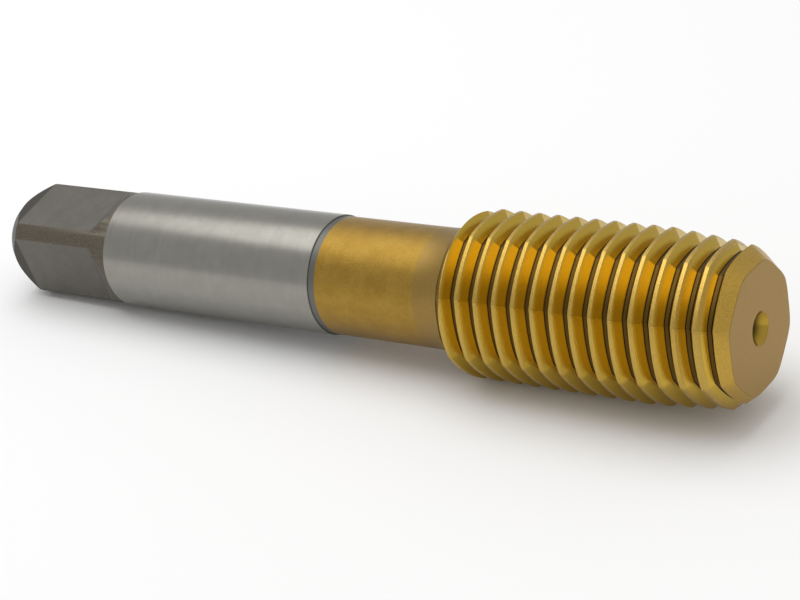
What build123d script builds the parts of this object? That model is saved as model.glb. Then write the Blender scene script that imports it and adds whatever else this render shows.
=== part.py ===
from build123d import *
import math
import os

# ---------------------------------------------------------------------------
# Thread-forming tap, M24 x 3, right hand, in one piece of tool steel.
# It lies on its side as it comes to rest: the thread end towards +X, +Z up.
# While it is being made its axis is the X axis, with the square's end at
# x = 0. All sizes are in millimetres and all angles in degrees.
# ---------------------------------------------------------------------------

# Lengths along the tap
overall_length = 130.0
thread_length = 44.6
neck_length = 23.3
shank_length = 39.6

# Thread form
pitch = 3.0
crest_radius = 12.18         # over the tops of the lobes
thread_depth = 1.62
flank_angle = 30.0           # half of the 60 degree thread angle
crest_flat = 0.56
crest_from_front = 2.36      # last crest behind the front face, on the +Y side

# Lobes that press the thread into shape instead of cutting it
lobe_count = 8
lobe_relief = 0.37           # how far the form falls away between two lobes
points_per_lobe = 3

# Lead at the front, where the thread form grows to its full size
lead_length = 14.0
crest_lead_angle = 4.9
root_lead_angle = 3.6
nose_radius = 9.15           # edge of the flat front face
nose_length = 4.0
nose_angle = 39.0            # steep chamfer behind that edge
rear_chamfer_radius = 10.35
rear_chamfer_angle = 45.0

# Neck and ground shank
neck_radius = 8.8
neck_blend_length = 4.9
neck_blend_radius = 16.8
shank_radius = 9.0
shank_edge = 0.12

# Driving end, left unground
tail_radius = 8.75
tail_face_radius = 5.85
tail_chamfer_length = 3.55
across_flats = 14.0
flat_length = 18.95
runout_angle = 30.0
square_turn = 13.7           # flats against upright, as the tap comes to rest

# Centre holes that the tap was ground between
front_hole_radius = 2.35
rear_hole_radius = 3.0
centre_angle = 30.0          # half of the 60 degree centre
pilot_radius = 1.1
pilot_length = 2.2

# ---------------------------------------------------------------------------
# Stations along the axis that follow from those sizes
# ---------------------------------------------------------------------------
x_front = overall_length
x_lead = x_front - lead_length
x_thread_rear = x_front - thread_length
x_neck = x_thread_rear - neck_blend_length
x_shank_front = x_thread_rear - neck_length
x_shank_rear = x_shank_front - shank_length

# ---------------------------------------------------------------------------
# Lobed thread: a rod of whole turns, longer than the threaded part
# ---------------------------------------------------------------------------
lobe_step = 360.0 / lobe_count
half_crest = crest_flat / 2
half_form = half_crest + thread_depth * math.tan(math.radians(flank_angle))
crest_at_start = (x_front - crest_from_front) % pitch
spare_turns = 2
first_turn = math.floor(x_thread_rear / pitch) - spare_turns
turn_count = math.ceil(thread_length / pitch) + 2 * spare_turns
first_lobe = lobe_count * first_turn
last_lobe = first_lobe + lobe_count * turn_count


def lobe_fall(angle):
    """How far the form falls inside the lobe tops at this angle."""
    share = angle / lobe_step
    off_middle = 2 * abs(share - round(share))
    return lobe_relief * (1 - off_middle**2)


def thread_point(angle, offset, depth):
    """A point of the thread form, by its distance along from the crest's middle."""
    x = crest_at_start + pitch * angle / 360 + offset
    lead_angle = root_lead_angle if depth else crest_lead_angle
    lead_fall = max(0, x - x_lead) * math.tan(math.radians(lead_angle))
    radius = crest_radius - depth - lead_fall - lobe_fall(angle)
    turn = math.radians(angle)
    return Vector(x, radius * math.cos(turn), radius * math.sin(turn))


def thread_line(lobe, offset, depth):
    """A helical line of the form over one lobe, from lobe top to lobe top."""
    share = [k / (points_per_lobe - 1) + 0.5 for k in range(points_per_lobe)]
    return Edge.make_spline([thread_point(lobe_step * (lobe + s), offset, depth) for s in share])


def axis_line(lobe, offset):
    """The part of the axis that the same line passes over."""
    ends = [thread_point(lobe_step * (lobe + s), offset, 0).X for s in (0.5, 1.5)]
    return Edge.make_line((ends[0], 0, 0), (ends[1], 0, 0))


def end_step(lobe, axis_lobe):
    """The flat step where the rod's first or last turn meets the next one."""
    top = lobe_step * (lobe + 0.5)
    form = [
        thread_point(top, half_form - pitch, thread_depth),
        thread_point(top, -half_form, thread_depth),
        thread_point(top, -half_crest, 0),
        thread_point(top, half_crest, 0),
        thread_point(top, half_form, thread_depth),
    ]
    axis = [axis_line(axis_lobe + k, half_form - pitch) @ 0 for k in range(lobe_count + 1)]
    return Face(Wire.make_polygon(form + axis[::-1]))


def lobed_rod():
    """The whole thread form, closed at both ends by screw-shaped faces."""
    faces = []
    for lobe in range(first_lobe, last_lobe):
        lines = [
            thread_line(lobe, half_form - pitch, thread_depth),
            thread_line(lobe, -half_form, thread_depth),
            thread_line(lobe, -half_crest, 0),
            thread_line(lobe, half_crest, 0),
            thread_line(lobe, half_form, thread_depth),
        ]
        faces += [Face.make_surface_from_curves(a, b) for a, b in zip(lines, lines[1:])]
    for k in range(lobe_count):
        rear = first_lobe + k
        front = last_lobe - lobe_count + k
        faces.append(Face.make_surface_from_curves(
            thread_line(rear, half_form - pitch, thread_depth), axis_line(rear, half_form - pitch)))
        faces.append(Face.make_surface_from_curves(
            thread_line(front, half_form, thread_depth), axis_line(front, half_form)))
    faces.append(end_step(first_lobe, first_lobe))
    faces.append(end_step(last_lobe, last_lobe))
    return Solid(Shell(faces))


def lobed_outline(x, radius):
    """The lobed section across the tap, as one closed wire."""
    edges = []
    for lobe in range(lobe_count):
        points = []
        for k in range(points_per_lobe):
            angle = lobe_step * (lobe + 0.5 + k / (points_per_lobe - 1))
            turn = math.radians(angle)
            r = radius - lobe_fall(angle)
            points.append((x, r * math.cos(turn), r * math.sin(turn)))
        edges.append(Edge.make_spline(points))
    return Wire(edges)


def turned(points):
    """A body turned about the X axis from its outline of (x, radius) points."""
    return revolve(make_face(Polyline(*points, close=True)), Axis.X)


# The rod is cut to length: a lobed chamfer at the nose, a turned one at the rear
clear_radius = crest_radius + 1
x_nose = x_front - nose_length
nose_top = nose_radius + nose_length * math.tan(math.radians(nose_angle))
nose = Solid.make_loft([lobed_outline(x_nose, nose_top), lobed_outline(x_front, nose_radius)], ruled=True)
rear_chamfer_length = (clear_radius - rear_chamfer_radius) / math.tan(math.radians(rear_chamfer_angle))
barrel = turned([
    (x_thread_rear, 0),
    (x_thread_rear, rear_chamfer_radius),
    (x_thread_rear + rear_chamfer_length, clear_radius),
    (x_nose, clear_radius),
    (x_nose, 0),
])
rod = lobed_rod()
thread = (rod & barrel) + (rod & nose)

# ---------------------------------------------------------------------------
# Neck, ground shank and tail, turned in one
# ---------------------------------------------------------------------------
blend_angle = math.degrees(math.asin(neck_blend_length / neck_blend_radius))
blend_centre = (x_neck, neck_radius + neck_blend_radius)
blend = CenterArc(blend_centre, neck_blend_radius, -90, blend_angle)
blend_end = blend @ 1
x_core = x_thread_rear + pitch
rear_outline = Polyline(
    (x_neck, neck_radius),
    (x_shank_front, neck_radius),
    (x_shank_front, shank_radius - shank_edge),
    (x_shank_front - shank_edge, shank_radius),
    (x_shank_rear + shank_edge, shank_radius),
    (x_shank_rear, shank_radius - shank_edge),
    (x_shank_rear, tail_radius),
    (tail_chamfer_length, tail_radius),
    (0, tail_face_radius),
    (0, 0),
    (x_core, 0),
    (x_core, blend_end.Y),
    (blend_end.X, blend_end.Y),
)
shank = revolve(make_face(rear_outline + blend), Axis.X)

# Four flats make the drive square, each running out up a slope
flat_height = across_flats / 2
runout_length = (clear_radius - flat_height) / math.tan(math.radians(runout_angle))
flat_outline = Polyline(
    (-1, flat_height),
    (flat_length, flat_height),
    (flat_length + runout_length, clear_radius),
    (-1, clear_radius),
    close=True,
)
flat_cut = extrude(Plane.XZ * make_face(flat_outline), clear_radius, both=True)
for quarter in range(4):
    shank -= Rot(square_turn + 90 * quarter, 0, 0) * flat_cut


def centre_hole(x_face, inward, radius):
    """A 60 degree centre with its flat-bottomed pilot, going in from an end face."""
    cone_end = (radius - pilot_radius) / math.tan(math.radians(centre_angle))
    pilot_end = cone_end + pilot_length
    return turned([
        (x_face, 0),
        (x_face, radius),
        (x_face + inward * cone_end, pilot_radius),
        (x_face + inward * pilot_end, pilot_radius),
        (x_face + inward * pilot_end, 0),
    ])


tap = thread + shank
tap -= centre_hole(x_front, -1, front_hole_radius)
tap -= centre_hole(0, 1, rear_hole_radius)

# ---------------------------------------------------------------------------
# At rest it lies between two lobes of its last full crest, and on the rear
# edge of the shank
# ---------------------------------------------------------------------------
crest_drop = crest_radius - lobe_relief
full_crest_in = (crest_drop - rear_chamfer_radius) / math.tan(math.radians(rear_chamfer_angle))
x_full_crest = x_thread_rear + full_crest_in
x_crest_below = crest_at_start - pitch / 4
turns_along = math.ceil((x_full_crest + half_crest - x_crest_below) / pitch)
x_crest_rest = x_crest_below + pitch * turns_along - half_crest
x_shank_rest = x_shank_rear + shank_edge
rest_tilt = math.degrees(math.atan((crest_drop - shank_radius) / (x_crest_rest - x_shank_rest)))
tap = Rot(0, -rest_tilt, 0) * tap
box = tap.bounding_box()
tap = Pos(-box.center().X, -box.center().Y, -box.min.Z) * tap

os.makedirs("parts", exist_ok=True)
export_step(tap, "parts/thread_tap.step")
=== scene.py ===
# %% [markdown]
# A thread-forming tap, lying on its side. It is one piece of tool steel: a
# coarse screw thread with eight shallow lobes and a tapered lead, a slim neck,
# a ground round shank and a square to drive it by. The thread and neck carry a
# thin gold-coloured hard coating. The rest is bare steel.
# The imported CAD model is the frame. Everything below is built round it.

# %% Load the frame
import math

import bmesh
import bpy
from mathutils import Matrix, Vector


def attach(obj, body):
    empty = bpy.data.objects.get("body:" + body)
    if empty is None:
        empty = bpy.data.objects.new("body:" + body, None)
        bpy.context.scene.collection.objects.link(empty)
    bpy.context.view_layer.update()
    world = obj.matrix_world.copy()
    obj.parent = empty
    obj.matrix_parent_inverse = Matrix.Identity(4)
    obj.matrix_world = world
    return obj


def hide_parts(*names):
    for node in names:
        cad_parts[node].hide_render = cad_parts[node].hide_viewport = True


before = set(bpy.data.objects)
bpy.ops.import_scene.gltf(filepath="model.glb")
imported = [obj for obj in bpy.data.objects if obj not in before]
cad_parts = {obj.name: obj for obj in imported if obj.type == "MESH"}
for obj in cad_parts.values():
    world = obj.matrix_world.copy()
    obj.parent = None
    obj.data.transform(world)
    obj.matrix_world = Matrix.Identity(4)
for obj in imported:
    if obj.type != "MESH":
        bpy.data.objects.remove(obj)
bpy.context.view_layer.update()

# %% [markdown]
# A turned part is easiest to make where a lathe would make it: along one axis,
# in millimetres. Here that is the X axis, with the square's end at x = 0 and
# the thread's front face at x = 130. One matrix then lays the finished piece
# down as it rests, thread end a little higher, and turns millimetres into
# metres, so that every object can stay at the origin, unturned and unscaled.

# %% Where the tap lies
overall_length = 130.0
rest_tilt = 2.4758            # degrees that the axis climbs towards the thread
footprint_middle = Vector((65.0026, 0.0, -8.0145))
millimetre = 0.001

lay_down = (
    Matrix.Scale(millimetre, 4)
    @ Matrix.Translation(-footprint_middle)
    @ Matrix.Rotation(math.radians(-rest_tilt), 4, "Y")
)
print("thread face lies at", [round(c, 4) for c in lay_down @ Vector((overall_length, 0, 0))])

# %% [markdown]
# Three small helpers do most of the work. The first draws an outline as a wire
# of edges in the XY plane. The second spins a wire once round the X axis, as a
# lathe would, and merges the seam and the poles. The third turns a finished
# bmesh into an object.

# %% Helpers for turning
def wire(bm, points):
    """An open wire of edges through (x, radius) points."""
    verts = [bm.verts.new((x, radius, 0)) for x, radius in points]
    edges = [bm.edges.new(pair) for pair in zip(verts, verts[1:])]
    return verts + edges


def turned(points, steps):
    """A closed body turned about the X axis from an outline that ends on it."""
    bm = bmesh.new()
    outline = wire(bm, points)
    bmesh.ops.spin(bm, geom=outline, cent=(0, 0, 0), axis=(1, 0, 0), angle=math.tau,
                   steps=steps, use_merge=True)
    bmesh.ops.remove_doubles(bm, verts=bm.verts, dist=1e-5)
    bmesh.ops.recalc_face_normals(bm, faces=bm.faces)
    return bm


def new_object(name, bm):
    """Puts a bmesh into a new object in the scene."""
    mesh = bpy.data.meshes.new(name)
    bm.to_mesh(mesh)
    bm.free()
    piece = bpy.data.objects.new(name, mesh)
    bpy.context.scene.collection.objects.link(piece)
    return piece


# %% [markdown]
# Solid shapes are added and cut with the Boolean modifier, and the result is
# kept as a plain mesh. The cutters are thrown away once they have done their
# job. The exact solver gives crisp, closed edges where two shapes meet.

# %% Helpers for adding and cutting
def apply_modifiers(piece):
    """Keeps what the piece's modifiers make as its own plain mesh."""
    depsgraph = bpy.context.evaluated_depsgraph_get()
    result = bpy.data.meshes.new_from_object(piece.evaluated_get(depsgraph))
    piece.modifiers.clear()
    piece.data = result


def combine(piece, operation, other):
    """Adds, cuts or intersects piece with other, which is used up."""
    boolean = piece.modifiers.new(operation.lower(), "BOOLEAN")
    boolean.operation = operation
    boolean.solver = "EXACT"
    boolean.object = other
    apply_modifiers(piece)
    bpy.data.objects.remove(other)


def open_edges(piece):
    """How many edges have other than two faces: none on a closed shell."""
    bm = bmesh.new()
    bm.from_mesh(piece.data)
    count = sum(1 for edge in bm.edges if len(edge.link_faces) != 2)
    bm.free()
    return count


# %% [markdown]
# The thread is not cut but pressed, so a forming tap has no flutes. Its section
# is an eight-sided form with bulging sides: the ridges between the sides do
# the pressing. The form grows from a tapered lead at the front. Spinning one
# thread profile while it moves along the axis gives the helix, and each point is
# then drawn in towards the axis by what the lobes and the lead take at its place.

# %% Thread sizes
pitch = 3.0
crest_radius = 12.18
thread_depth = 1.62
flank_angle = math.radians(30)
crest_flat = 0.56
crest_from_front = 2.36
lobe_count = 8
lobe_relief = 0.37
lead_length = 14.0
crest_lead_slope = math.tan(math.radians(4.9))
root_lead_slope = math.tan(math.radians(3.6))
thread_length = 44.6
x_front = overall_length
x_thread_rear = x_front - thread_length
x_lead = x_front - lead_length
lobe_step = math.tau / lobe_count
steps_per_lobe = 14
steps_per_turn = lobe_count * steps_per_lobe


# %% The lobes and the lead
def crowd_to_ridges(angle):
    """Moves an angle towards the nearer ridge, so that the mesh is finest there."""
    lobe = round(angle / lobe_step)
    off_middle = 2 * (angle / lobe_step - lobe)
    reach = math.radians(86)
    return lobe_step * (lobe + 0.5 * math.sin(off_middle * reach) / math.sin(reach))


def lobe_fall(angle):
    """How far the form falls inside the ridges at this angle."""
    share = angle / lobe_step
    off_middle = 2 * abs(share - round(share))
    return lobe_relief * (1 - off_middle**2)


def nose_fall(angle, to_face):
    """The same fall on the nose chamfer, its ridges worn round towards the face."""
    off_middle = 2 * abs(angle / lobe_step - round(angle / lobe_step))
    rounded = lobe_relief * (0.5 + 0.5 * math.cos(math.pi * off_middle))
    return lobe_fall(angle) + (rounded - lobe_fall(angle)) * 0.6 * to_face


def lead_fall(x, depth_share):
    """How far the lead brings the form in, at the crest (0) or the root (1)."""
    slope = crest_lead_slope + (root_lead_slope - crest_lead_slope) * depth_share
    return max(0.0, x - x_lead) * slope


def set_radius(vert, radius, angle):
    """Puts a vertex at this radius and angle about the X axis."""
    vert.co.y = radius * math.cos(angle)
    vert.co.z = radius * math.sin(angle)


# %% [markdown]
# The profile spans one pitch, from the middle of one groove to the middle of
# the next. Its corners are softly rounded, because a rolled or ground crest is
# never knife-sharp, and the small rounds catch thin lines of light.

# %% One turn's profile
crest_round = 0.08
root_round = 0.2
half_crest = crest_flat / 2
half_form = half_crest + thread_depth * math.tan(flank_angle)
root_radius = crest_radius - thread_depth


def rounded_corner(before, corner, after, radius, segments=4, guard=0.0):
    """Points of a small arc in place of a corner, with a guard point on each side."""
    before, corner, after = Vector(before), Vector(corner), Vector(after)
    to_before = (before - corner).normalized()
    to_after = (after - corner).normalized()
    half_turn = math.acos(max(-1, min(1, to_before.dot(to_after)))) / 2
    reach = radius / math.tan(half_turn)
    centre = corner + (to_before + to_after).normalized() * (radius / math.sin(half_turn))
    start = corner + to_before * reach - centre
    end = corner + to_after * reach - centre
    total = start.angle(end)
    arc = []
    for k in range(segments + 1):
        share = k / segments
        mix = start * math.sin(total * (1 - share)) + end * math.sin(total * share)
        arc.append(centre + mix / math.sin(total))
    if guard:
        arc = [arc[0] + to_before * guard] + arc + [arc[-1] + to_after * guard]
    return arc


corners = [
    (-pitch / 2, root_radius),
    (-half_form, root_radius),
    (-half_crest, crest_radius),
    (half_crest, crest_radius),
    (half_form, root_radius),
    (pitch / 2, root_radius),
]
rounds = [root_round, crest_round, crest_round, root_round]
guard = 0.03                  # keeps the flanks flat right up to their rounded edges
profile = [Vector(corners[0])]
for k, size in enumerate(rounds):
    profile += rounded_corner(corners[k], corners[k + 1], corners[k + 2], size, guard=guard)
profile.append(Vector(corners[-1]))
print("profile points:", len(profile))

# %% [markdown]
# One turn of thread is enough to draw: the end of a turn is where the next one
# starts, one pitch further on. So the profile is spun once with a rise of one
# pitch, and an Array modifier repeats that turn along the axis and merges the
# seams. The two open ends are closed with a fan to a point on the axis. They
# lie beyond the finished thread and are cut away with it.

# %% Spin one turn and repeat it
spare_turns = 2
turn_count = math.ceil(thread_length / pitch) + 2 * spare_turns
first_crest = (x_front - crest_from_front) % pitch
first_turn = math.floor(x_thread_rear / pitch) - spare_turns
start_angle = lobe_step / 2
rod_start = first_crest + pitch * (first_turn + start_angle / math.tau)

bm = bmesh.new()
outline = wire(bm, [(rod_start + p.x, p.y) for p in profile])
bmesh.ops.rotate(bm, verts=bm.verts, cent=(0, 0, 0), matrix=Matrix.Rotation(start_angle, 3, "X"))
bmesh.ops.spin(bm, geom=outline, cent=(0, 0, 0), axis=(1, 0, 0), angle=math.tau,
               dvec=(pitch / steps_per_turn, 0, 0), steps=steps_per_turn, use_merge=False)
thread = new_object("tap_thread", bm)
repeat = thread.modifiers.new("turns", "ARRAY")
repeat.count = turn_count
repeat.use_relative_offset = False
repeat.use_constant_offset = True
repeat.constant_offset_displace = (pitch, 0, 0)
repeat.use_merge_vertices = True
repeat.merge_threshold = 1e-3
apply_modifiers(thread)

# %% [markdown]
# The repeated turns end in two open rims. Each rim is extruded once and its new
# points are merged into one on the axis, which closes the rod with a cone. A
# closed body is what the Boolean modifier needs to cut it cleanly.

# %% Close the rod's ends
bm = bmesh.new()
bm.from_mesh(thread.data)
bmesh.ops.remove_doubles(bm, verts=bm.verts, dist=1e-3)
rod_middle = rod_start + pitch * turn_count / 2
rim = [e for e in bm.edges if e.is_boundary]
for side in (-1, 1):
    half = [e for e in rim if side * (e.verts[0].co.x - rod_middle) > 0]
    fan = bmesh.ops.extrude_edge_only(bm, edges=half)["geom"]
    tips = [g for g in fan if isinstance(g, bmesh.types.BMVert)]
    end_x = rod_middle + side * pitch * (turn_count + 1) / 2
    bmesh.ops.pointmerge(bm, verts=tips, merge_co=(end_x, 0, 0))

# %% [markdown]
# The rod is still round. Now every point moves straight towards the axis, by the
# lobes' share at its angle and the lead's share at its place along the tap. The
# points also crowd a little to the ridges, where the form bends most. A Displace
# modifier could do this too, but here the two falls are plain arithmetic.

# %% Draw in the lobes and the lead
on_axis = 1.0                 # points nearer the axis than this are the rod's end tips
for vert in bm.verts:
    radius = math.hypot(vert.co.y, vert.co.z)
    if radius < on_axis:
        continue
    angle = crowd_to_ridges(math.atan2(vert.co.z, vert.co.y))
    depth_share = (crest_radius - radius) / thread_depth
    set_radius(vert, radius - lobe_fall(angle) - lead_fall(vert.co.x, depth_share), angle)
bmesh.ops.recalc_face_normals(bm, faces=bm.faces)
bm.to_mesh(thread.data)
bm.free()
print("rod:", len(thread.data.polygons), "faces,", open_edges(thread), "open edges")

# %% [markdown]
# The rod is cut to length by what its blank was turned to: a steep chamfer at
# the nose that follows the lobes, and a 45 degree chamfer at the rear. So the
# rod is intersected with that blank. Where the two surfaces cross, the thread
# runs out in the crescent lands that a real lead shows.

# %% The blank that the thread was pressed on
nose_radius = 9.15
nose_length = 4.0
nose_angle = math.radians(39)
rear_chamfer_radius = 10.35
clear_radius = crest_radius + 1
nose_top = nose_radius + nose_length * math.tan(nose_angle)
rear_chamfer_length = clear_radius - rear_chamfer_radius
x_nose = x_front - nose_length

blank_outline = [(x_thread_rear, 0)]
blank_outline += rounded_corner((x_thread_rear, 0), (x_thread_rear, rear_chamfer_radius),
                                (x_thread_rear + 1, rear_chamfer_radius + 1), 0.15, guard=guard)
blank_outline += [(x_thread_rear + rear_chamfer_length, clear_radius), (x_nose, clear_radius),
                  (x_nose, nose_top)]
blank_outline += rounded_corner((x_nose, nose_top), (x_front, nose_radius), (x_front, 0), 0.12,
                                guard=guard)
blank_outline += [(x_front, nose_radius / 2), (x_front, 0)]
bm = turned(blank_outline, steps_per_turn)
for vert in bm.verts:
    radius = math.hypot(vert.co.y, vert.co.z)
    if vert.co.x > x_nose - 0.1 and radius > nose_radius / 2 + 0.1:
        angle = crowd_to_ridges(math.atan2(vert.co.z, vert.co.y) - start_angle) + start_angle
        to_face = min(1.0, max(0.0, (vert.co.x - x_nose) / nose_length))
        set_radius(vert, radius - nose_fall(angle, to_face), angle)
blank = new_object("blank", bm)
print("blank:", open_edges(blank), "open edges")
combine(thread, "INTERSECT", blank)
print("thread cut to length:", len(thread.data.polygons), "faces,", open_edges(thread), "open")

# %% [markdown]
# Behind the thread comes the neck, thinner than the thread it presses, so that
# it follows into the hole and lets oil pass. It is a plain turned shape with a
# long hollow curve where it grows into the thread. The coating ends in a sharp
# line a little before the shank, so this piece ends there too. The neck reaches
# into the thread and the two are made one. Last comes a centre hole in the nose,
# one of the two that the tap was held by while it was ground.

# %% Add the neck and drill the centre
neck_radius = 8.8
neck_blend_length = 4.9
neck_blend_radius = 16.8
coating_length = 66.8         # from the front face to the line where the gold stops
x_neck = x_thread_rear - neck_blend_length
x_coating = x_front - coating_length
blend_steps = 10
blend_turn = math.asin(neck_blend_length / neck_blend_radius)

neck_outline = [(x_coating, 0), (x_coating, neck_radius)]
for k in range(blend_steps + 1):
    turn = blend_turn * k / blend_steps
    neck_outline.append((x_neck + neck_blend_radius * math.sin(turn),
                         neck_radius + neck_blend_radius * (1 - math.cos(turn))))
neck_outline += [(x_thread_rear + pitch, neck_outline[-1][1]), (x_thread_rear + pitch, 0)]
neck_steps = 160
combine(thread, "UNION", new_object("neck", turned(neck_outline, neck_steps)))


pilot_radius = 1.1
pilot_length = 2.2
lip = 0.12                    # the small chamfer round the mouth of the hole


def centre_outline(x_face, inward, radius):
    """Outline of a 60 degree centre and its pilot, as the drill that makes it."""
    cone_end = (radius - pilot_radius) / math.tan(math.radians(30))
    pilot_end = cone_end + pilot_length
    points = [(-1, 0), (-1, radius + lip), (-lip * 0.2, radius + lip), (lip * 0.8, radius - lip * 0.3),
              (cone_end, pilot_radius), (pilot_end, pilot_radius), (pilot_end, 0)]
    return [(x_face + inward * along, r) for along, r in points]


front_hole_radius = 2.35
rear_hole_radius = 3.0
drill = new_object("drill", turned(centre_outline(x_front, -1, front_hole_radius), 72))
combine(thread, "DIFFERENCE", drill)
print("thread and neck:", len(thread.data.polygons), "faces,", open_edges(thread), "open")

# %% [markdown]
# The shank is what the chuck grips, so it is ground round and straight. It is
# one spin of an outline with a small chamfer at each end. A short bare band of
# the neck lies between the coating and the shank and belongs to this piece.

# %% Turn the shank
neck_length = 23.3
shank_length = 39.6
shank_radius = 9.0
shank_edge = 0.12
tail_radius = 8.75
x_shank_front = x_thread_rear - neck_length
x_shank_rear = x_shank_front - shank_length
shank_steps = 192

shank_outline = [
    (x_coating, 0),
    (x_coating, neck_radius),
    (x_shank_front, neck_radius),
    (x_shank_front, shank_radius - shank_edge),
    (x_shank_front - shank_edge, shank_radius),
    ((x_shank_front + x_shank_rear) / 2, shank_radius),
    (x_shank_rear + shank_edge, shank_radius),
    (x_shank_rear + shank_edge * 0.4, shank_radius - shank_edge * 0.3),
    (x_shank_rear, shank_radius - shank_edge),
    (x_shank_rear, tail_radius),
    (x_shank_rear, 0),
]
shank = new_object("tap_shank", turned(shank_outline, shank_steps))
print("shank:", len(shank.data.polygons), "faces,", open_edges(shank), "open")

# %% [markdown]
# The tail was left as hardened, a little thinner than the shank. Four flats are
# milled on it to make the square that a wrench drives. Each flat runs out up a
# slope where the cutter left the steel. A cube, moved and with one end leaned
# over, is the cutter, and it cuts four times, a quarter turn apart.

# %% Turn the tail
tail_chamfer_length = 3.55
tail_face_radius = 5.85
tail_outline = [(x_shank_rear, 0), (x_shank_rear, tail_radius)]
tail_outline += rounded_corner((x_shank_rear, tail_radius), (tail_chamfer_length, tail_radius),
                               (0, tail_face_radius), 0.4)
tail_outline += rounded_corner((tail_chamfer_length, tail_radius), (0, tail_face_radius),
                               (0, 0), 0.25)
tail_outline += [(0, 0)]
tail = new_object("tap_square", turned(tail_outline, shank_steps))

print("tail blank:", len(tail.data.polygons), "faces,", open_edges(tail), "open")

# %% Mill the four flats
across_flats = 14.0
flat_length = 18.95
runout_angle = math.radians(30)
square_turn = math.radians(13.7)
flat_height = across_flats / 2


def flat_cutter():
    """A block above the flat, its inner end leaning away as the runout slope."""
    bm = bmesh.new()
    bmesh.ops.create_cube(bm, size=2)
    for vert in bm.verts:
        top = vert.co.z > 0
        inner = vert.co.x > 0
        vert.co.z = clear_radius if top else flat_height
        vert.co.x = flat_length if inner else -1
        vert.co.y *= clear_radius
        if top and inner:
            vert.co.x += (clear_radius - flat_height) / math.tan(runout_angle)
    return bm


for quarter in range(4):
    bm = flat_cutter()
    turn = Matrix.Rotation(square_turn + quarter * math.pi / 2, 3, "X")
    bmesh.ops.rotate(bm, verts=bm.verts, cent=(0, 0, 0), matrix=turn)
    combine(tail, "DIFFERENCE", new_object("flat_cutter", bm))
drill = new_object("drill", turned(centre_outline(0, 1, rear_hole_radius), 72))
combine(tail, "DIFFERENCE", drill)
print("tail:", len(tail.data.polygons), "faces,", open_edges(tail), "open")

# %% [markdown]
# A milled edge is never left knife-sharp: a stone or a brush takes it off. The
# Bevel modifier is the usual tool for that. It never cuts wider than the shortest
# edges it meets allow, and the Boolean cuts leave some very short ones. So here
# the break comes out with almost no width. Merging those points first would let
# it reach its full width.

# %% Break the tail's edges
edge_break = tail.modifiers.new("edge break", "BEVEL")
edge_break.width = 0.09
edge_break.segments = 2
edge_break.limit_method = "ANGLE"
edge_break.angle_limit = math.radians(20)
apply_modifiers(tail)
print("tail after the bevel:", len(tail.data.polygons), "faces,", open_edges(tail), "open")

# %% [markdown]
# The pieces are laid down in metres at their place in the frame. Faces are
# shaded smooth, and edges with a clear angle between their faces are marked
# sharp, so that each surface keeps its own clean reflections.

# %% Lay the pieces down
sharp_angle = math.radians(24)
wide_face = 6.0               # square mm: larger faces than this are flats of the real tap
for piece in (thread, shank, tail):
    bm = bmesh.new()
    bm.from_mesh(piece.data)
    bmesh.ops.recalc_face_normals(bm, faces=bm.faces)
    for face in bm.faces:
        end_on = abs(face.normal.x) > 0.9999
        face.smooth = not end_on and face.calc_area() < wide_face
    bmesh.ops.transform(bm, matrix=lay_down, verts=bm.verts)
    for edge in bm.edges:
        edge.smooth = edge.calc_face_angle(0) < sharp_angle
    bm.to_mesh(piece.data)
    bm.free()
    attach(piece, "root")
    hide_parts("thread_tap")
print("pieces:", {p.name: len(p.data.polygons) for p in (thread, shank, tail)})

# %% [markdown]
# Every finish on the tap follows its axis: rings on the shank, the line where
# the coating stops, the land of the thread. So one shader node group, used by
# all the materials, turns Object coordinates back into the lathe's: how far
# along from the front face a point is, how far out and how far around, in
# millimetres and radians. Two helpers keep the node code short.

# %% Helpers for shader nodes
def node(tree, kind, inputs=None, **settings):
    """Adds a node, sets it, and links or fills its inputs."""
    made = tree.nodes.new(kind)
    for name, value in settings.items():
        setattr(made, name, value)
    for key, value in (inputs or {}).items():
        if isinstance(value, bpy.types.NodeSocket):
            tree.links.new(value, made.inputs[key])
        else:
            made.inputs[key].default_value = value
    return made


def maths(tree, operation, a, b=0.0, c=0.0):
    """One step of arithmetic."""
    return node(tree, "ShaderNodeMath", {0: a, 1: b, 2: c}, operation=operation).outputs[0]


def fade(tree, value, start, end):
    """0 before start, 1 after end, and a smooth change between them."""
    return node(tree, "ShaderNodeMapRange", {"Value": value, "From Min": start, "From Max": end},
                interpolation_type="SMOOTHSTEP").outputs[0]


def tint(tree, share, colour_a, colour_b, blend="MIX"):
    """Mixes two colours by a share."""
    made = node(tree, "ShaderNodeMix", {0: share, 6: colour_a, 7: colour_b},
                data_type="RGBA", blend_type=blend)
    return made.outputs[2]


def noise(tree, place, scale, detail=2.0, roughness=0.5):
    """Noise from 0 to 1 at a place."""
    return node(tree, "ShaderNodeTexNoise", {"Vector": place, "Scale": scale, "Detail": detail,
                                             "Roughness": roughness}).outputs["Fac"]


def new_group(name, inputs, outputs):
    """A shader node group with named sockets; returns its tree and its two ends."""
    tree = bpy.data.node_groups.new(name, "ShaderNodeTree")
    for label, kind, value in inputs:
        socket = tree.interface.new_socket(label, in_out="INPUT", socket_type=kind)
        if value is not None:
            socket.default_value = value
    for label, kind in outputs:
        tree.interface.new_socket(label, in_out="OUTPUT", socket_type=kind)
    return tree, tree.nodes.new("NodeGroupInput"), tree.nodes.new("NodeGroupOutput")


FLOAT = "NodeSocketFloat"
VECTOR = "NodeSocketVector"

# %% [markdown]
# The group undoes what laid the tap down. A Mapping node turns, moves and scales
# the Object coordinates, and the distance from the axis and the angle round it
# come from plain arithmetic. Object coordinates hold still when the tap is
# moved, so the rings and lines stay on the metal.

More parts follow.
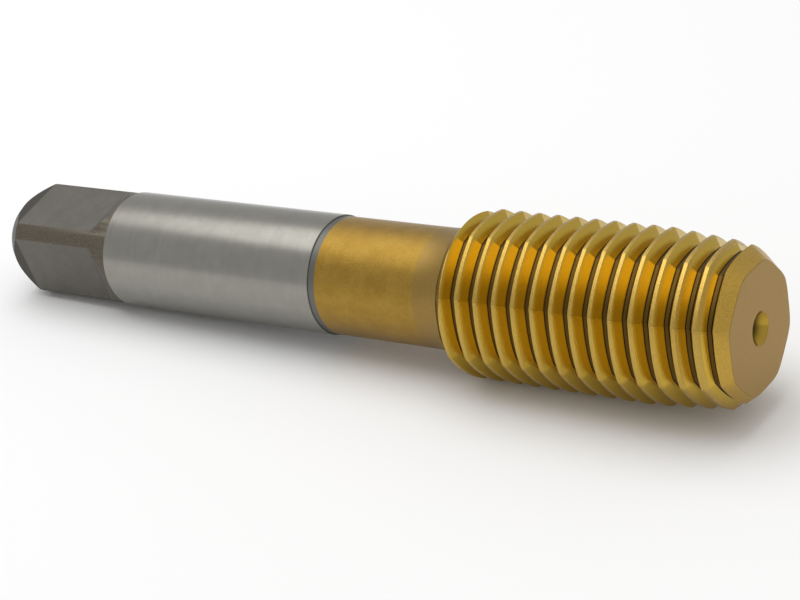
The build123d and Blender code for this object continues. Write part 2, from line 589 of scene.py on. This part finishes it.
# %% Tap axis group
axis_group, start, end = new_group(
    "tap axis", [], [("Place", VECTOR), ("Along", FLOAT), ("Radius", FLOAT), ("Around", FLOAT)])
where = node(axis_group, "ShaderNodeTexCoord").outputs["Object"]
stand_up = Matrix.Rotation(math.radians(rest_tilt), 3, "Y")
lathe = node(axis_group, "ShaderNodeMapping",
             {"Vector": where, "Scale": (1 / millimetre,) * 3,
              "Rotation": (0, math.radians(rest_tilt), 0),
              "Location": stand_up @ footprint_middle}, vector_type="POINT").outputs[0]
split = node(axis_group, "ShaderNodeSeparateXYZ", {0: lathe}).outputs
squares = maths(axis_group, "MULTIPLY_ADD", split[1], split[1],
                maths(axis_group, "MULTIPLY", split[2], split[2]))
axis_group.links.new(lathe, end.inputs["Place"])
axis_group.links.new(maths(axis_group, "SUBTRACT", overall_length, split[0]), end.inputs["Along"])
axis_group.links.new(maths(axis_group, "SQRT", squares), end.inputs["Radius"])
axis_group.links.new(maths(axis_group, "ARCTAN2", split[2], split[1]), end.inputs["Around"])

# %% [markdown]
# The thread's lands have a finish of their own: they were ground before coating.
# Its roots carry painted shade: their colour is darkened in the recess where
# shade falls. A second group repeats the thread's own arithmetic in nodes. Depth
# runs from 0 at the lobed crest to 1 at the root, and Nose is how far a point lies
# off the nose chamfer, in millimetres.

# %% Thread depth group
depth_group, start, end = new_group(
    "thread depth", [("Along", FLOAT, 0.0), ("Radius", FLOAT, 0.0), ("Around", FLOAT, 0.0)],
    [("Depth", FLOAT), ("Nose", FLOAT)])
share = maths(depth_group, "DIVIDE", start.outputs["Around"], lobe_step)
off_middle = maths(depth_group, "ABSOLUTE", maths(
    depth_group, "SUBTRACT", share, maths(depth_group, "ROUND", share)))
off_middle = maths(depth_group, "MULTIPLY", off_middle, 2.0)
fall = maths(depth_group, "MULTIPLY", lobe_relief, maths(
    depth_group, "SUBTRACT", 1.0, maths(depth_group, "POWER", off_middle, 2.0)))
into_lead = maths(depth_group, "MAXIMUM", maths(
    depth_group, "SUBTRACT", lead_length, start.outputs["Along"]), 0.0)
crest_here = maths(depth_group, "SUBTRACT", crest_radius, maths(
    depth_group, "MULTIPLY_ADD", into_lead, crest_lead_slope, fall))
full_depth = maths(depth_group, "MULTIPLY_ADD", into_lead, root_lead_slope - crest_lead_slope,
                   thread_depth)
below_crest = maths(depth_group, "SUBTRACT", crest_here, start.outputs["Radius"])
depth_group.links.new(maths(depth_group, "DIVIDE", below_crest, full_depth), end.inputs["Depth"])
nose_here = maths(depth_group, "SUBTRACT", maths(
    depth_group, "MULTIPLY_ADD", start.outputs["Along"], math.tan(nose_angle), nose_radius), fall)
depth_group.links.new(maths(depth_group, "ABSOLUTE", maths(
    depth_group, "SUBTRACT", nose_here, start.outputs["Radius"])), end.inputs["Nose"])


# %% A new material with its axis group
def new_material(name):
    """A material with a Principled shader and the tap axis group."""
    material = bpy.data.materials.new(name)
    material.use_nodes = True
    tree = material.node_tree
    shader = tree.nodes["Principled BSDF"]
    shader.distribution = "MULTI_GGX"
    axis = node(tree, "ShaderNodeGroup", node_tree=axis_group).outputs
    return material, tree, shader, axis


# %% [markdown]
# Two more groups serve every finish. "metal grain" gives the fine grain of a
# blasted or as-hardened surface, and slow clouds of tone. "ring marks" gives
# the fine rings that a wheel or a lathe tool leaves: noise that changes
# quickly along the tap and hardly at all round it.

# %% Grain group
grain_group, start, end = new_group(
    "metal grain", [("Place", VECTOR, None), ("Size", FLOAT, 0.12)],
    [("Grain", FLOAT), ("Cloud", FLOAT)])
per_mm = maths(grain_group, "DIVIDE", 1.0, start.outputs["Size"])
grain_group.links.new(noise(grain_group, start.outputs["Place"], per_mm, 3.0, 0.6), end.inputs["Grain"])
grain_group.links.new(noise(grain_group, start.outputs["Place"], 0.45, 4.0, 0.6), end.inputs["Cloud"])

# %% Ring mark group
ring_group, start, end = new_group(
    "ring marks", [("Along", FLOAT, 0.0), ("Around", FLOAT, 0.0), ("Per mm", FLOAT, 1.5),
                   ("Wander", FLOAT, 0.35)], [("Marks", FLOAT)])
across = [maths(ring_group, "MULTIPLY", maths(ring_group, wave, start.outputs["Around"]),
                start.outputs["Wander"]) for wave in ("COSINE", "SINE")]
along = maths(ring_group, "MULTIPLY", start.outputs["Along"], start.outputs["Per mm"])
stretched = node(ring_group, "ShaderNodeCombineXYZ", {0: along, 1: across[0], 2: across[1]}).outputs[0]
ring_group.links.new(noise(ring_group, stretched, 1.0, 5.0, 0.65), end.inputs["Marks"])

# %% [markdown]
# The gold is titanium nitride, a few thousandths of a millimetre thick, so it
# shows the surface beneath it: satin on the neck, duller on the blend, bright
# on the pressed flanks, grainy on the ground lands and nose. One material holds
# all of these. Each zone is a mask worked out from the tap's own sizes, and
# each mask mixes in that zone's colour and roughness. The deepest part of the
# thread has two zones of painted shade: a near-black line along each corner, and
# a darkened brown groove between them. The inside of the centre hole is painted
# dark as well, as painted shade in that recess.

# %% Gold coating and its zones
gold, tree, shader, axis = new_material("gold_coating")
form = node(tree, "ShaderNodeGroup", node_tree=depth_group)
for label in ("Along", "Radius", "Around"):
    tree.links.new(axis[label], form.inputs[label])
grain = node(tree, "ShaderNodeGroup", {"Place": axis["Place"], "Size": 0.16},
             node_tree=grain_group).outputs
depth = form.outputs["Depth"]
along = axis["Along"]
radius = axis["Radius"]
on_thread = maths(tree, "MULTIPLY", fade(tree, along, thread_length + 0.15, thread_length + 0.02),
                  fade(tree, along, 0.04, 0.1))
by_cone = fade(tree, form.outputs["Nose"], 0.2, 0.14)
by_face = fade(tree, along, 0.5, 0.45)
on_nose = maths(tree, "MULTIPLY", maths(tree, "MAXIMUM", by_cone, by_face),
                fade(tree, along, nose_length + 0.1, nose_length))
on_face = fade(tree, along, 0.1, 0.04)
blend_end = thread_length + neck_blend_length
wider_land = -0.35            # towards the nose the lands reach this much deeper
below_land = maths(tree, "MULTIPLY_ADD", fade(tree, along, 9.0, 4.0), wider_land, depth)
zones = {
    "blend": maths(tree, "MULTIPLY", fade(tree, along, blend_end + 0.5, blend_end - 0.2),
                   fade(tree, along, thread_length - 0.1, thread_length)),
    "flank": on_thread,
    "land": maths(tree, "MULTIPLY", on_thread, fade(tree, below_land, 0.035, 0.012)),
    # painted shade: the root corners and the groove below are darkened in colour
    "root": maths(tree, "MULTIPLY", on_thread, fade(tree, depth, 0.9, 0.94)),
    "groove": maths(tree, "MULTIPLY", on_thread, fade(tree, depth, 0.982, 0.995)),
    "nose": on_nose,
    "face": on_face,
    "centre": maths(tree, "MULTIPLY",
                    fade(tree, radius, front_hole_radius + 0.1, front_hole_radius + 0.05),
                    fade(tree, along, 0.0, 0.05)),
    # painted shade: the deep part of the centre hole is darkened in colour
    "pilot": maths(tree, "MULTIPLY",
                   fade(tree, radius, front_hole_radius - 0.15, pilot_radius + 0.1),
                   fade(tree, along, 0.2, 1.4)),
}
finishes = {                  # colour, roughness and how much of the grain shows
    "blend": ((0.33, 0.212, 0.06), 0.38, 0.8),
    "flank": ((0.60, 0.405, 0.06), 0.11, 0.5),
    "land": ((0.55, 0.365, 0.085), 0.18, 1.3),
    # painted shade: near-black root corners and a dark brown groove
    "root": ((0.035, 0.018, 0.006), 0.5, 0.3),
    "groove": ((0.105, 0.062, 0.014), 0.32, 0.5),
    "nose": ((0.56, 0.355, 0.07), 0.32, 2.0),
    "face": ((0.37, 0.228, 0.063), 0.40, 0.5),
    "centre": ((0.46, 0.30, 0.045), 0.12, 0.3),
    # painted shade colour for the inside of the centre hole
    "pilot": ((0.03, 0.018, 0.005), 0.4, 0.3),
}
satin_dark = (0.35, 0.21, 0.038, 1)
satin_light = (0.405, 0.25, 0.05, 1)
colour = tint(tree, fade(tree, grain["Cloud"], 0.3, 0.7), satin_dark, satin_light)
rough = maths(tree, "MULTIPLY_ADD", grain["Cloud"], 0.08, 0.32)
grain_share = 1.0
for zone, mask in zones.items():
    zone_colour, zone_rough, zone_grain = finishes[zone]
    colour = tint(tree, mask, colour, (*zone_colour, 1))
    rough = maths(tree, "MULTIPLY_ADD", mask, maths(tree, "SUBTRACT", zone_rough, rough), rough)
    grain_share = maths(tree, "MULTIPLY_ADD", mask,
                        maths(tree, "SUBTRACT", zone_grain, grain_share), grain_share)
speckle = maths(tree, "MULTIPLY_ADD", maths(tree, "SUBTRACT", grain["Grain"], 0.5), grain_share, 0.5)
full = (1, 1, 1, 1)
light_and_dark = tint(tree, fade(tree, speckle, 0.3, 0.7), (0.8, 0.79, 0.76, 1), full)
colour = tint(tree, 1.0, colour, light_and_dark, "MULTIPLY")
tree.links.new(colour, shader.inputs["Base Color"])
tree.links.new(rough, shader.inputs["Roughness"])
shader.inputs["Metallic"].default_value = 1.0
bump = node(tree, "ShaderNodeBump", {"Height": speckle, "Distance": 0.00008, "Strength": 0.5})
tree.links.new(bump.outputs[0], shader.inputs["Normal"])
print("gold zones:", ", ".join(zones))

# %% [markdown]
# The shank and the short band in front of it are bare steel. The shank is
# cylindrically ground, so it carries very fine rings and a soft stretched
# highlight. The band was never ground: it is darker and dull.

# %% Ground steel
steel, tree, shader, axis = new_material("ground_steel")
rings = node(tree, "ShaderNodeGroup", {"Along": axis["Along"], "Around": axis["Around"],
                                       "Per mm": 5.0, "Wander": 0.25}, node_tree=ring_group).outputs[0]
grain = node(tree, "ShaderNodeGroup", {"Place": axis["Place"], "Size": 0.2},
             node_tree=grain_group).outputs
unground = fade(tree, axis["Radius"], shank_radius - 0.03, shank_radius - 0.1)
ring_dark = (0.28, 0.27, 0.243, 1)
ring_light = (0.304, 0.295, 0.265, 1)
band_grey = (0.15, 0.148, 0.135, 1)
ringed = tint(tree, fade(tree, rings, 0.3, 0.7), ring_dark, ring_light)
clouded = tint(tree, fade(tree, grain["Cloud"], 0.35, 0.7), (0.93, 0.93, 0.92, 1), full)
ringed = tint(tree, 1.0, ringed, clouded, "MULTIPLY")
tree.links.new(tint(tree, unground, ringed, band_grey), shader.inputs["Base Color"])
rough = maths(tree, "MULTIPLY_ADD", rings, 0.06, 0.22)
tree.links.new(maths(tree, "MULTIPLY_ADD", unground, 0.14, rough), shader.inputs["Roughness"])
shader.inputs["Metallic"].default_value = 1.0
bump = node(tree, "ShaderNodeBump", {"Height": rings, "Distance": 0.000006, "Strength": 0.5})
tree.links.new(bump.outputs[0], shader.inputs["Normal"])
print("ground steel:", len(tree.nodes), "nodes")

# %% [markdown]
# The tail keeps the grey-brown skin of hardening. The flats were milled before
# that and are smooth but dull. The round corners between them are browner, and
# knocks from the wrench show as small bright nicks beside the corners. The end
# chamfer is painted darkest, as painted shade.

# %% Dull steel
dull, tree, shader, axis = new_material("dull_steel")
grain = node(tree, "ShaderNodeGroup", {"Place": axis["Place"], "Size": 0.25},
             node_tree=grain_group).outputs
radius = axis["Radius"]
on_corner = fade(tree, radius, tail_radius - 0.17, tail_radius - 0.05)
beside_corner = maths(tree, "MULTIPLY", fade(tree, radius, tail_radius - 0.4, tail_radius - 0.15),
                      fade(tree, radius, tail_radius + 0.01, tail_radius - 0.05))
nicks = maths(tree, "MULTIPLY", beside_corner,
              fade(tree, noise(tree, axis["Place"], 1.7, 4.0, 0.7), 0.62, 0.7))
skin_dark = (0.13, 0.122, 0.107, 1)
skin_light = (0.148, 0.139, 0.123, 1)
corner_dark = (0.105, 0.09, 0.068, 1)
corner_light = (0.15, 0.13, 0.10, 1)
chamfer_painted_shade = (0.07, 0.064, 0.055, 1)
bare_nick = (0.36, 0.33, 0.29, 1)
skin = tint(tree, fade(tree, grain["Cloud"], 0.3, 0.7), skin_dark, skin_light)
corner_skin = tint(tree, fade(tree, grain["Grain"], 0.3, 0.7), corner_dark, corner_light)
colour = tint(tree, on_corner, skin, corner_skin)
# painted shade: the end chamfer's colour is darkened below the skin's
chamfer_start = overall_length - tail_chamfer_length
on_chamfer = fade(tree, axis["Along"], chamfer_start - 0.15, chamfer_start + 0.25)
colour = tint(tree, on_chamfer, colour, chamfer_painted_shade)
colour = tint(tree, nicks, colour, bare_nick)
tree.links.new(colour, shader.inputs["Base Color"])
tree.links.new(maths(tree, "MULTIPLY_ADD", grain["Grain"], 0.14, 0.42), shader.inputs["Roughness"])
shader.inputs["Metallic"].default_value = 0.85
bumpy = maths(tree, "MULTIPLY_ADD", nicks, -1.5, grain["Grain"])
bump = node(tree, "ShaderNodeBump", {"Height": bumpy, "Distance": 0.00002, "Strength": 0.5})
tree.links.new(bump.outputs[0], shader.inputs["Normal"])
print("dull steel:", len(tree.nodes), "nodes")

# %% [markdown]
# One finish goes on each piece, in the one material slot that each piece has.

# %% Put the finishes on
for piece, finish in ((thread, gold), (shank, steel), (tail, dull)):
    piece.data.materials.clear()
    piece.data.materials.append(finish)
    print(piece.name, "wears", finish.name)

# %% [markdown]
# The camera looks at the tap from the thread's end, a little above it. A long
# lens keeps the near and far ends almost the same size. The camera is also
# rolled by a few degrees, which is the small middle angle.

# %% Camera
camera_data = bpy.data.cameras.new("camera")
camera_data.lens = 100.16
camera_data.sensor_width = 36
camera_data.clip_start = 0.01
camera = bpy.data.objects.new("camera", camera_data)
camera.location = (0.182872, -0.234203, 0.151689)
camera.rotation_euler = [math.radians(a) for a in (63.6698, 7.2656, 33.3483)]
bpy.context.scene.collection.objects.link(camera)
bpy.context.scene.camera = camera
print("camera stands", round(camera.location.length, 3), "m from the middle of the footprint")

# %% [markdown]
# The tap lies on a sheet of pale matt paper, so large that its edges are far
# off. It takes a soft shadow. A plain grid is enough for it.

# %% Floor
floor_half_width = 4.0
bm = bmesh.new()
bmesh.ops.create_grid(bm, x_segments=4, y_segments=4, size=floor_half_width)
floor = new_object("floor", bm)
paper = bpy.data.materials.new("pale_floor")
paper.use_nodes = True
paper_shader = paper.node_tree.nodes["Principled BSDF"]
paper_shader.inputs["Base Color"].default_value = (0.92, 0.92, 0.92, 1)
paper_shader.inputs["Roughness"].default_value = 0.9
paper_shader.inputs["Specular IOR Level"].default_value = 0.1
floor.data.materials.append(paper)
print("floor:", 2 * floor_half_width, "m wide")

# %% [markdown]
# The light is a studio's: even pale surroundings, and one round softbox that
# hangs over the tap and a little to the square's side. Its mirror image is the
# bright streak along the top of the neck and the shank.

# %% Light
world = bpy.data.worlds.new("studio")
bpy.context.scene.world = world
world.use_nodes = True
surroundings = 0.66
background = world.node_tree.nodes["Background"]
background.inputs["Color"].default_value = (surroundings, surroundings, surroundings, 1)

softbox_width = 0.76
softbox_place = Vector((-0.15, 0.0, 0.6))
softbox_brightness = 1.6
soft_data = bpy.data.lights.new("softbox", "AREA")
soft_data.shape = "DISK"
soft_data.size = softbox_width
softbox_area = math.pi * softbox_width**2 / 4
soft_data.energy = softbox_brightness * math.pi * softbox_area
softbox = bpy.data.objects.new("softbox", soft_data)
softbox.location = softbox_place
softbox.rotation_euler = (-softbox_place).to_track_quat("-Z", "Y").to_euler()
bpy.context.scene.collection.objects.link(softbox)
bpy.context.scene.view_settings.view_transform = "Standard"
print("softbox:", round(soft_data.energy, 2), "W,", softbox_width, "m wide")
